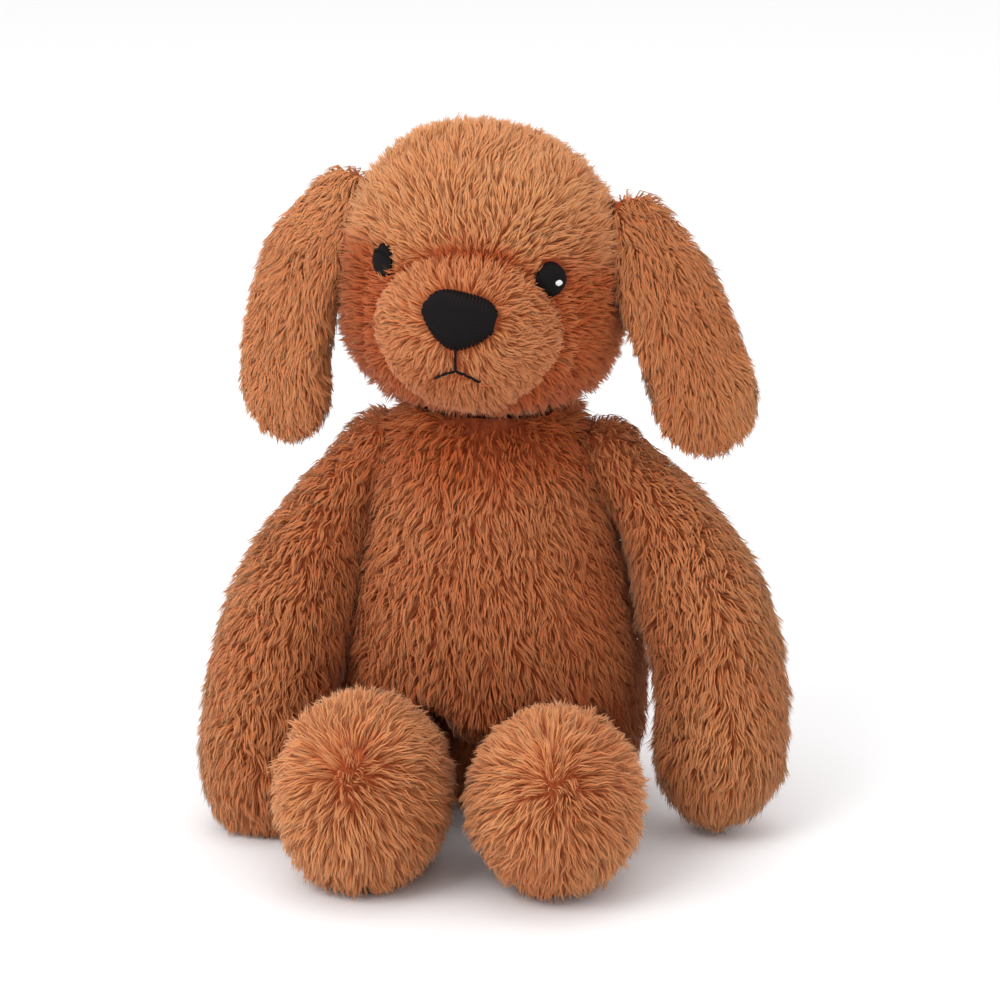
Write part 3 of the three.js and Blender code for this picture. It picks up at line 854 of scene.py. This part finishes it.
def mouth_distance(points):
    """How far points in head coordinates are from the line of the mouth, seen from the front."""
    x, z = points[:, 0] - NOSE_CENTRE[0], points[:, 2]
    down = np.hypot(x, z - np.clip(z, MOUTH_FORK, MOUTH_TOP))
    share = np.clip(np.abs(x) / MOUTH_CORNER[0], 0, 1)
    fall = MOUTH_FORK + (MOUTH_CORNER[1] - MOUTH_FORK) * share
    bow = np.hypot(np.abs(x) - share * MOUTH_CORNER[0], z - fall)
    return np.where(points[:, 1] < FACE_FRONT, np.minimum(down, bow), FAR)


def on_panel(points, panel):
    """Whether points in head coordinates belong to one of the head's four sewn panels."""
    x, y = points[:, 0], points[:, 1]
    return {
        "left": x > SIDE_SEAM, "right": x < -SIDE_SEAM,
        "face": (np.abs(x) <= SIDE_SEAM) & (y < BACK_SEAM),
        "back": (np.abs(x) <= SIDE_SEAM) & (y >= BACK_SEAM),
    }[panel]


class PLUSHDOG_OT_head(bpy.types.Operator):
    """Sews the head: its skin, and the pile of the face, the back and the two sides"""

    bl_idname = "plushdog.head"
    bl_label = "Head"

    def comb(self, verts, outward, behind):
        """Away from the nose, then down at the back and up and back over the top."""
        nose = face_point(np.array([NOSE_CENTRE[0]]), np.array([NOSE_CENTRE[1] - 2.0]), 2)
        comb = unit(outward - head_to_world(nose)[0]) + np.array([0, 0.1, -1.0]) * behind * 1.1
        top = smooth(verts[:, 2], 5, 35)[:, None] * (1 - behind)
        return comb + np.array([0, 0.6, 0.5]) * top * 0.6

    def length(self, verts, close, below):
        """Short on the muzzle, by the mouth and around the eyes, and long under the chin."""
        length = full_length() * (0.68 + 0.32 * smooth(close, 1.0, 1.6))
        length = length * (0.45 + 0.55 * smooth(mouth_distance(verts), 1.0, 5.0))
        for _, side in SIDES:
            place, across, up, _ = eye_frame(side)
            apart = np.linalg.norm(verts - (place - 3.5 * side * across + 5.0 * up), axis=1)
            length = length * (1 - 0.55 * np.exp(-((apart / 6.0) ** 2)))
        return length * (1 + 0.2 * below)

    def tone(self, verts, close, behind):
        """Painted light and shade: lighter above and dark on the lower cheeks, the right more so, darker down
        the left side, with dark creases at muzzle and brow.
        """
        x, y, z = verts.T
        # painted light towards the top; painted shade on the lower cheeks, deeper on the right cheek and down
        # the left side
        tone = 0.7 + 0.12 * smooth(z, 5, 30) - 0.14 * (1 - smooth(close, 1.0, 1.2))
        tone = tone - 0.85 * (1 - smooth(z, -8, 14)) * smooth(close, 1.02, 1.12) * (1 - 0.8 * behind)
        tone = tone - 0.6 * smooth(-x, 24, 36) * (1 - smooth(z, 0, 14)) * (1 - behind)
        tone = tone - 0.12 * smooth(x, 20, 42) - 0.2 * behind
        # painted shade in the creases: where the muzzle meets the skull, and along the brow
        skull, muzzle = head_parts(unit(verts))
        edge = np.exp(-(((skull - muzzle - 1) / 2.8) ** 2)) * smooth(-y, 8, 20)
        brow = np.exp(-(((z - 9.5 + 0.012 * (x - 3) ** 2) / 1.3) ** 2)) * (y < -20)
        return tone - 0.6 * edge - 0.6 * brow * (1 - smooth(np.abs(x - 3), 9, 15))

    def lean(self, verts, close, below):
        """Flat on the face, and more upright by the nose, on the sides and under the chin."""
        nose = face_point(*np.array([[NOSE_CENTRE[0]], [NOSE_CENTRE[1]]]), 0)[0]
        rim = np.linalg.norm(verts - nose, axis=1)
        lean = 50 - 18 * (1 - smooth(rim, 12, 18)) - 16 * smooth(np.abs(verts[:, 0]), 28, 42) - 22 * below
        lean = lean + 14 * (1 - smooth(close, 0.95, 1.3))
        return lean + 22 * (1 - smooth(mouth_distance(verts), 1.5, 5))

    def execute(self, context):
        verts, tris = head_surface()
        seam = np.abs(np.abs(verts[:, 0]) - SIDE_SEAM) < SEAM_HOLD
        seam |= (np.abs(verts[:, 1] - BACK_SEAM) < SEAM_HOLD) & (np.abs(verts[:, 0]) < SIDE_SEAM)
        seam |= in_nose(verts, 2) | in_eye(verts, 2)
        verts = inflate(verts, tris, seam)
        skin = (head_to_world(verts), tris)
        stuffing(skin, "head", "head_filling")

        behind = smooth(verts[:, 1], -20, 25)
        close = np.linalg.norm((verts - MUZZLE_CENTRE) / MUZZLE, axis=1)
        below = 1 - smooth(verts[:, 2], -46, -34)
        comb = self.comb(verts, skin[0], behind[:, None])
        length, lean = self.length(verts, close, below), self.lean(verts, close, below)
        tone = self.tone(verts, close, behind)
        for panel, node, count, seed in HEAD_PANELS:
            def keep(roots, panel=panel):
                local = world_to_head(roots)
                bald = in_nose(local, -0.7) | in_eye(local, 0.2) | (mouth_distance(local) < 0.4)
                return on_panel(local, panel) & ~bald

            sew(node.replace("_panel", "_plush"), skin, comb, length, lean, "head", "head", (node,), "head",
                count, seed=seed, keep=keep, weight=np.where(on_panel(verts, panel), 1.0, 0.0), tone=tone,
                with_skin=panel == "face")
        return {"FINISHED"}


class PLUSHDOG_OT_neck(bpy.types.Operator):
    """Sews the soft collar under the head that sits in the top of the torso"""

    bl_idname = "plushdog.neck"
    bl_label = "Neck"

    def execute(self, context):
        centre = pivot("head_turn")
        skin = closed_grid(centre + NECK_BALL * directions(20, 36)[..., [1, 2, 0]])
        comb = DOWN + 0.4 * (skin[0] - centre) / NECK_BALL
        weight = smooth(skin[0][:, 2] - centre[2], -10, -4)
        # a deep tone: painted shade under the chin
        sew("neck_plush", skin, comb, 6.0, 45, "head", "head", (), "head", NECK_LOCKS, seed=61, weight=weight,
            tone=0.15)
        return {"FINISHED"}


def stitched_pad(half, edges, place, out_height, spacing, radius, steps=11):
    """Satin stitch: parallel threads side by side over a padded shape from -half to half.

    edges(u) gives the lower and upper end of the thread at u, place(u, v, out) the point on the face, and
    out_height(u, v) how far the thread stands off the skin. Threads dip to the skin at both ends, by the
    sixth power of the distance from their middle.
    """
    across = np.arange(-half + spacing * 0.35, half - spacing * 0.3, spacing)
    lower, upper = edges(across)
    share = np.linspace(0, 1, steps)
    u = np.repeat(across[:, None], steps, 1)
    v = lower[:, None] + (upper - lower)[:, None] * share
    dip = 1 - np.abs(2 * share - 1) ** 6
    off = out_height(u, v) * dip + 1.0 * (1 - dip)
    paths = place(u.ravel(), v.ravel(), off.ravel()).reshape(len(across), steps, 3)
    return tubes(paths, radius * (0.55 + 0.45 * dip))


def oval(half, tall):
    """The edges of an oval: a function that gives its lower and upper end at each place across it."""
    def edges(u):
        edge = tall * np.sqrt(np.clip(1 - (u / half) ** 2, 0, 1))
        return -edge, edge

    return edges


class PLUSHDOG_OT_face(bpy.types.Operator):
    """Embroiders the nose, the mouth, the eyes and their glints"""

    bl_idname = "plushdog.face"
    bl_label = "Embroidered face"

    def nose(self):
        angle = math.radians(NOSE_LEAN)

        def place(u, v, off):
            x = NOSE_CENTRE[0] + u * math.cos(angle) - v * math.sin(angle)
            z = NOSE_CENTRE[1] + u * math.sin(angle) + v * math.cos(angle)
            return head_to_world(face_point(x, z, off))

        def height(u, v):
            bulge = 1 - (u / (NOSE_HALF[0] * 1.05)) ** 2 - 0.8 * (v / (NOSE_HALF[1] * 1.1)) ** 2
            return 2.6 + 1.9 * np.clip(bulge, 0, 1) ** 0.6

        half = NOSE_HALF[0]
        upper = stitched_pad(half, nose_bounds, place, height, 0.62, 0.42, steps=13)
        lower = stitched_pad(half, nose_bounds, place, lambda u, v: height(u, v) - 0.9, 1.2, 0.95)
        piece = make_mesh("nose", *joined(upper, lower))
        finish_piece(piece, "head", thread(), "thread", "nose_embroidery")

    def mouth(self):
        rings = 7
        across = np.linspace(-1, 1, rings)

        def stitches(points, count):
            """The line from point to point, cut into stitches that overlap a little."""
            points = np.array(points, float)
            travel = np.concatenate([[0], np.cumsum(np.hypot(*np.diff(points, axis=0).T))])
            ends = np.linspace(0, travel[-1], count + 1)
            along = ends[:-1, None] + np.linspace(-0.12, 1.12, rings) * ends[1]
            flat = np.stack([np.interp(along.ravel(), travel, points[:, k]) for k in (0, 1)], 1)
            off = np.tile(2.5 - 1.3 * np.abs(across) ** 3, count)
            return head_to_world(face_point(flat[:, 0], flat[:, 1], off)).reshape(count, rings, 3)

        middle = NOSE_CENTRE[0]
        half, low = MOUTH_CORNER
        bow = np.linspace(0, 1, 9)
        paths = [stitches([(middle, MOUTH_TOP), (middle, MOUTH_FORK)], 3)]
        for _, side in SIDES:
            x = middle + side * half * bow
            z = MOUTH_FORK + (low - MOUTH_FORK) * (0.75 * bow + 0.25 * bow**3)
            paths.append(stitches(np.stack([x, z], 1), 3))
        radius = 0.54 * (1 - 0.45 * np.abs(across) ** 2)
        piece = make_mesh("mouth", *tubes(np.concatenate(paths), radius, sides=8))
        finish_piece(piece, "head", thread(), "thread", "mouth_embroidery")

    def eye(self, name, side, white):
        centre, across, up, out = eye_frame(side)

        def place(u, v, off):
            flat = centre + across * u[:, None] + up * v[:, None]
            reach = head_reach(flat) + off
            return head_to_world(unit(flat) * reach[:, None])

        def height(u, v):
            bulge = np.clip(1 - (u / EYE_HALF[0]) ** 2 - (v / EYE_HALF[1]) ** 2, 0, 1)
            return EYE_RISE[side] + 1.3 * bulge**0.6

        edges = oval(*EYE_HALF)
        upper = stitched_pad(EYE_HALF[0], edges, place, height, 0.55, 0.38)
        lower = stitched_pad(EYE_HALF[0], edges, place, lambda u, v: height(u, v) - 0.8, 1.0, 0.8)
        piece = make_mesh(name + "_eye_stitching", *joined(upper, lower))
        finish_piece(piece, "head", thread(), "thread", name + "_eye")

        def spot(u, v, off):
            return place(u + GLINT_SHIFT[0], v + GLINT_SHIFT[1], off)

        threads = stitched_pad(
            GLINT_RADIUS, oval(GLINT_RADIUS, GLINT_RADIUS * 1.1), spot, lambda u, v: GLINT_RISE[side] + 0 * u,
            0.42, 0.3, steps=7)
        piece = make_mesh(name + "_glint", *threads)
        finish_piece(piece, "head", white, "glint", name + "_eye_glint")

    def execute(self, context):
        white = thread_material("white_thread", (0.9, 0.9, 0.88))
        self.nose()
        self.mouth()
        for name, side in SIDES:
            self.eye(name, side, white)
        return {"FINISHED"}


class PLUSHDOG_OT_ears(bpy.types.Operator):
    """Sews the two hanging ears"""

    bl_idname = "plushdog.ears"
    bl_label = "Ears"

    def execute(self, context):
        for name, side in SIDES:
            turn = math.radians(EAR_TURN) * side
            across = np.array([math.cos(turn), math.sin(turn), 0])
            path = np.array(EAR_PATH[name], float) * (side, 1, 1)
            verts, tris, flow = stuffed(EAR, path, 44, 44, across)
            verts = inflate(verts, tris, np.zeros(len(verts), bool), cap=1.0)
            middle = verts @ across - np.interp(verts[:, 2], path[::-1, 2], (path @ across)[::-1])
            spread = across * (middle / 16)[:, None] * 0.55
            comb = head_turned(flow + spread) + 0.3 * DOWN
            skin = (head_to_world(verts + np.array(EAR_ROOT) * (side, 1, 1)), tris)
            ear = name + "_ear"
            # the ears' tone is fitted to how bright they show: partly painted light and shade
            sew(ear, skin, comb, full_length() * 0.86, 56, "head", ear,
                (ear + "_front_panel", ear + "_back_panel"), "ear", EAR_LOCKS, seed=201 + side, tone=0.52)
        return {"FINISHED"}


# ---- Body ----------------------------------------------------------------------------------------


class PLUSHDOG_OT_torso(bpy.types.Operator):
    """Sews the torso: its skin, and the pile of its front, its back and its seat"""

    bl_idname = "plushdog.torso"
    bl_label = "Torso"

    def execute(self, context):
        verts, tris = torso_surface()
        neck = pivot("head_turn")
        hips = np.hypot(verts[:, 1] + 36, verts[:, 2] - 26)
        held = (np.abs(verts[:, 1]) < 1.2) | (verts[:, 2] < 4) | (np.linalg.norm(verts - neck, axis=1) < 26)
        verts = inflate(verts, tris, held | (hips < 27))
        skin = (verts, tris)
        stuffing(skin, "torso", "torso_filling")
        x, y, z = verts.T
        outward = unit(verts * (1, 1, 0))
        dish = smooth(np.linalg.norm(verts - neck, axis=1), NECK_DISH + 0.05, NECK_DISH + 0.4)
        rising = smooth(z, 132, 146)
        comb = np.array([0.12, 0, -1.0]) + 0.25 * outward
        comb = comb * (1 - 0.8 * rising[:, None]) + outward * rising[:, None] * 0.3
        lean = 52 - 30 * rising
        hollow = smooth(np.hypot(y + 36, z - 26), 26, 30)
        length = full_length() * 0.9 * (0.35 + 0.65 * smooth(z, 2.5, 14))
        length = length * (0.8 + 0.2 * hollow) * (1 + 0.15 * rising)
        # painted shade: much darker just under the chin and a little darker on the left side; darker towards
        # the bottom; the base tone is fitted to how bright the torso shows, partly painted shade
        tone = 0.36 - 0.08 * (1 - smooth(z, 30, 70)) - 0.45 * smooth(z, 116, 142)
        tone = tone - 0.06 * smooth(x, 20, 45)

        def on_torso(points, panel, edge):
            low, front = points[:, 2] < edge, points[:, 1] < 0
            return {"front": front & ~low, "back": ~front & ~low, "seat": low}[panel]

        for panel, node, count, seed in TORSO_PANELS:
            weight = np.where(on_torso(verts, panel, SEAT_TOP + 0.6), 1.0, 0.0) * (0.15 + 0.85 * dish)
            sew(node.replace("_panel", "_plush"), skin, comb, length, lean, "body", "torso", (node,),
                "torso", count, seed=seed, keep=lambda roots, panel=panel: on_torso(roots, panel, SEAT_TOP),
                weight=weight, tone=tone, with_skin=panel == "back")
        return {"FINISHED"}


def off_floor(verts, tris):
    """A skin with its lowest points lifted to SKIN_FLOOR."""
    verts[:, 2] = np.maximum(verts[:, 2], SKIN_FLOOR)
    return verts, tris


class PLUSHDOG_OT_arms(bpy.types.Operator):
    """Sews the two long arms"""

    bl_idname = "plushdog.arms"
    bl_label = "Arms"

    def execute(self, context):
        for name, side in SIDES:
            swing, raised = ARM_POSE[name]
            path = np.array(ARM_PATH[name], float) * (side, 1, 1)
            verts, tris, flow = stuffed(ARM, path, 52, 64)
            verts = inflate(verts, tris, np.abs(verts[:, 1]) < 1.0)

            def placed(points, swing=swing, raised=raised, side=side):
                return turned(turned(points, "Y", -raised * side), "X", -swing)

            comb = placed(flow) + np.array([0, -0.1, -0.35])
            arm = name + "_arm"
            skin = off_floor(placed(verts) + pivot(arm + "_swing"), tris)
            stuffing(skin, arm, arm + "_filling")
            out = np.abs(verts[:, 0])
            length = full_length() * (0.8 + 0.2 * smooth(out, 5, 25))
            # darker near the shoulder: painted shade where the arm meets the body; the right arm a little
            # darker; the base tone is fitted to how bright the arms show, partly painted light and shade
            tone = 0.56 - 0.22 * (1 - smooth(out, 8, 34)) - 0.08 * (side < 0)
            sew(arm, skin, comb, length, 52, "limb", arm, (arm + "_front_panel", arm + "_back_panel"), "arm",
                ARM_LOCKS, seed=301 + side, tone=tone)
        return {"FINISHED"}


class PLUSHDOG_OT_legs(bpy.types.Operator):
    """Sews the two legs, with the pile of each foot parting from a whorl above the middle of its sole"""

    bl_idname = "plushdog.legs"
    bl_label = "Legs"

    def execute(self, context):
        for name, side in SIDES:
            leg = name + "_leg"
            verts, tris, _ = stuffed({**LEG, "rise": FOOT_RISE[name]}, LEG_PATH, 56, 56)
            back = math.radians(SOLE_LEAN)
            ahead = (verts - FOOT) @ unit(np.array([0, -math.cos(back), math.sin(back)]))
            sole = np.abs(ahead - SOLE_OUT)
            verts = inflate(verts, tris, (sole < 1.2) | ((np.abs(verts[:, 0]) < 1.0) & (ahead < SOLE_OUT)))
            verts = verts - vertex_normals(verts, tris) * (0.8 * np.exp(-((sole / 2.0) ** 2)))[:, None]

            tilt = math.radians(WHORL_LEAN)
            whorl = FOOT + WHORL_OUT * np.array([0.04 * side, -math.cos(tilt), math.sin(tilt)])
            comb = turned(unit(verts - whorl), "Z", LEG_SPLAY * side) + 0.25 * DOWN
            skin = off_floor(turned(verts, "Z", LEG_SPLAY * side) + pivot(leg + "_raise"), tris)
            stuffing(skin, leg, leg + "_filling")
            length = full_length() * (0.9 + 0.1 * smooth(-verts[:, 1], 40, 60))
            length = length * (0.5 + 0.5 * smooth(-verts[:, 1], -14, 8))
            lean = 18 + 36 * smooth(np.linalg.norm(verts - whorl, axis=1), 3, 17)
            nodes = (leg + "_outer_panel", leg + "_inner_panel", name + "_foot_sole")
            # the legs' tone is fitted to how bright they show: partly painted light and shade
            sew(leg, skin, comb, length, lean, "limb", leg, nodes, "leg", LEG_LOCKS, seed=401 + side,
                tone=0.64)
        return {"FINISHED"}


class PLUSHDOG_OT_tail(bpy.types.Operator):
    """Sews the short tail"""

    bl_idname = "plushdog.tail"
    bl_label = "Tail"

    def execute(self, context):
        verts, tris, flow = stuffed(TAIL, TAIL_PATH, 28, 30)
        skin = (verts + pivot("tail_wag"), tris)
        stuffing(skin, "tail", "tail_filling")
        nodes = ("tail_left_panel", "tail_right_panel")
        # the tail's tone is fitted to how bright it shows: partly painted light and shade
        sew("tail", skin, flow + 0.45 * DOWN, 7.5, 42, "limb", "tail", nodes, "tail", TAIL_LOCKS, seed=501,
            tone=0.4)
        return {"FINISHED"}


class PLUSHDOG_OT_label(bpy.types.Operator):
    """Makes the blank care label: a folded satin ribbon sewn into the seam beside the tail"""

    bl_idname = "plushdog.label"
    bl_label = "Care label"

    def execute(self, context):
        low, high = (np.array(corner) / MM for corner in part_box("care_label"))
        middle = (low + high) / 2
        turn = math.radians(LABEL_TURN)
        across = np.array([math.cos(turn), math.sin(turn), 0])
        out = np.array([-math.sin(turn), math.cos(turn), 0])
        u = np.linspace(-LABEL_HALF, LABEL_HALF, 13)
        v = np.linspace(0, 1, 25)
        fold = np.stack([0.25 + 0.25 * np.sin(math.pi * v), high[2] - (high[2] - low[2]) * v], 1)
        wave = 0.35 * np.sin(u / 3.1)[None] * v[:, None]
        sheets = []
        for face in (1, -1):
            depth = face * fold[:, :1] * (1 - v[:, None] ** 6) + wave
            point = middle * (1, 1, 0) + across * u[None, :, None] + out * depth[..., None]
            point[..., 2] = fold[:, 1:]
            sheets.append(point)
        grid = np.concatenate([sheets[0], sheets[1][::-1]])
        piece = make_mesh("care_label_ribbon", grid.reshape(-1, 3), open_grid(*grid.shape[:2]))
        solid = piece.modifiers.new("thickness", "SOLIDIFY")
        solid.thickness = LABEL_THICKNESS * MM
        satin = woven_material("label_satin", (0.9, 0.9, 0.87), 0.0006, 0.0001)
        finish_piece(piece, "torso", satin, "label", "care_label")
        return {"FINISHED"}


class PLUSHDOG_OT_filling(bpy.types.Operator):
    """Gives the fillings, the wads, the pellet pouch and the neck seam their materials"""

    bl_idname = "plushdog.filling"
    bl_label = "Filling"

    def execute(self, context):
        finish = {
            "filling": fibre(), "wad": fibre(),
            "seat_pellet_pouch": woven_material("pouch_cotton", (0.70, 0.66, 0.56), 0.0012, 0.0003),
            "neck_stitching": thread_material("seam_thread", (0.33, 0.10, 0.04), 0.6),
        }
        for name, node in frame["nodes"].items():
            for ending, material in finish.items():
                if name.endswith(ending):
                    node.data.materials.clear()
                    node.data.materials.append(material)
        return {"FINISHED"}


# ---- Stage ---------------------------------------------------------------------------------------


class PLUSHDOG_OT_stage(bpy.types.Operator):
    """Sets the pale floor, the soft lights and the camera"""

    bl_idname = "plushdog.stage"
    bl_label = "Studio"

    def light(self, name, place, aim, size, power):
        lamp = bpy.data.lights.new(name, "AREA")
        lamp.size, lamp.energy = size, power
        holder = bpy.data.objects.new(name, lamp)
        holder.location = place
        holder.rotation_euler = (Vector(aim) - Vector(place)).to_track_quat("-Z", "Y").to_euler()
        bpy.context.scene.collection.objects.link(holder)

    def execute(self, context):
        scene = context.scene
        steps = np.linspace(-FLOOR_HALF, FLOOR_HALF, FLOOR_STEPS) / MM
        x, y = np.meshgrid(steps, steps)
        points = np.stack([x, y, 0 * x], -1).reshape(-1, 3)
        floor = make_mesh("studio_floor", points, open_grid(FLOOR_STEPS, FLOOR_STEPS))
        tree = Tree("floor_paper")
        tree.set(Base_Color=(*settings().floor_colour, 1), Roughness=0.8, Specular_IOR_Level=0.2)
        floor.data.materials.append(tree.material)

        for lamp in LAMPS:
            self.light(*lamp)
        world = bpy.data.worlds.new("studio")
        world.use_nodes = True
        background = world.node_tree.nodes["Background"].inputs
        background["Color"].default_value, background["Strength"].default_value = (1, 1, 1, 1), 1.0
        scene.world = world
        scene.view_settings.view_transform = "Standard"

        lens = bpy.data.cameras.new("camera")
        lens.lens, lens.sensor_width = LENS, SENSOR
        camera = bpy.data.objects.new("camera", lens)
        flat = math.cos(CAMERA_RISE)
        direction = Vector((
            flat * math.sin(CAMERA_TURN), -flat * math.cos(CAMERA_TURN), math.sin(CAMERA_RISE),
        ))
        camera.location = CAMERA_AIM + direction * CAMERA_DISTANCE
        camera.rotation_euler = (-direction).to_track_quat("-Z", "Y").to_euler()
        scene.collection.objects.link(camera)
        scene.camera = camera
        return {"FINISHED"}


# ---- Panel and registration ----------------------------------------------------------------------

STEPS = (
    PLUSHDOG_OT_stage, PLUSHDOG_OT_head, PLUSHDOG_OT_neck, PLUSHDOG_OT_face, PLUSHDOG_OT_ears,
    PLUSHDOG_OT_torso, PLUSHDOG_OT_arms, PLUSHDOG_OT_legs, PLUSHDOG_OT_tail, PLUSHDOG_OT_label,
    PLUSHDOG_OT_filling,
)


class PLUSHDOG_PT_panel(bpy.types.Panel):
    """The dog's settings and the steps that make it"""

    bl_idname = "PLUSHDOG_PT_panel"
    bl_label = "Plush Dog"
    bl_space_type = "VIEW_3D"
    bl_region_type = "UI"
    bl_category = "Plush Dog"

    def draw(self, context):
        column = self.layout.column()
        for name in PlushDogSettings.__annotations__:
            column.prop(context.scene.plush_dog, name)
        for step in STEPS:
            column.operator(step.bl_idname)


CLASSES = (PlushDogSettings, *STEPS, PLUSHDOG_PT_panel)


def register():
    for item in CLASSES:
        bpy.utils.register_class(item)
    bpy.types.Scene.plush_dog = bpy.props.PointerProperty(type=PlushDogSettings)


def unregister():
    del bpy.types.Scene.plush_dog
    for item in reversed(CLASSES):
        bpy.utils.unregister_class(item)


def main():
    register()
    for step in STEPS:
        group, name = step.bl_idname.split(".")
        getattr(getattr(bpy.ops, group), name)()


if __name__ == "__main__":
    main()
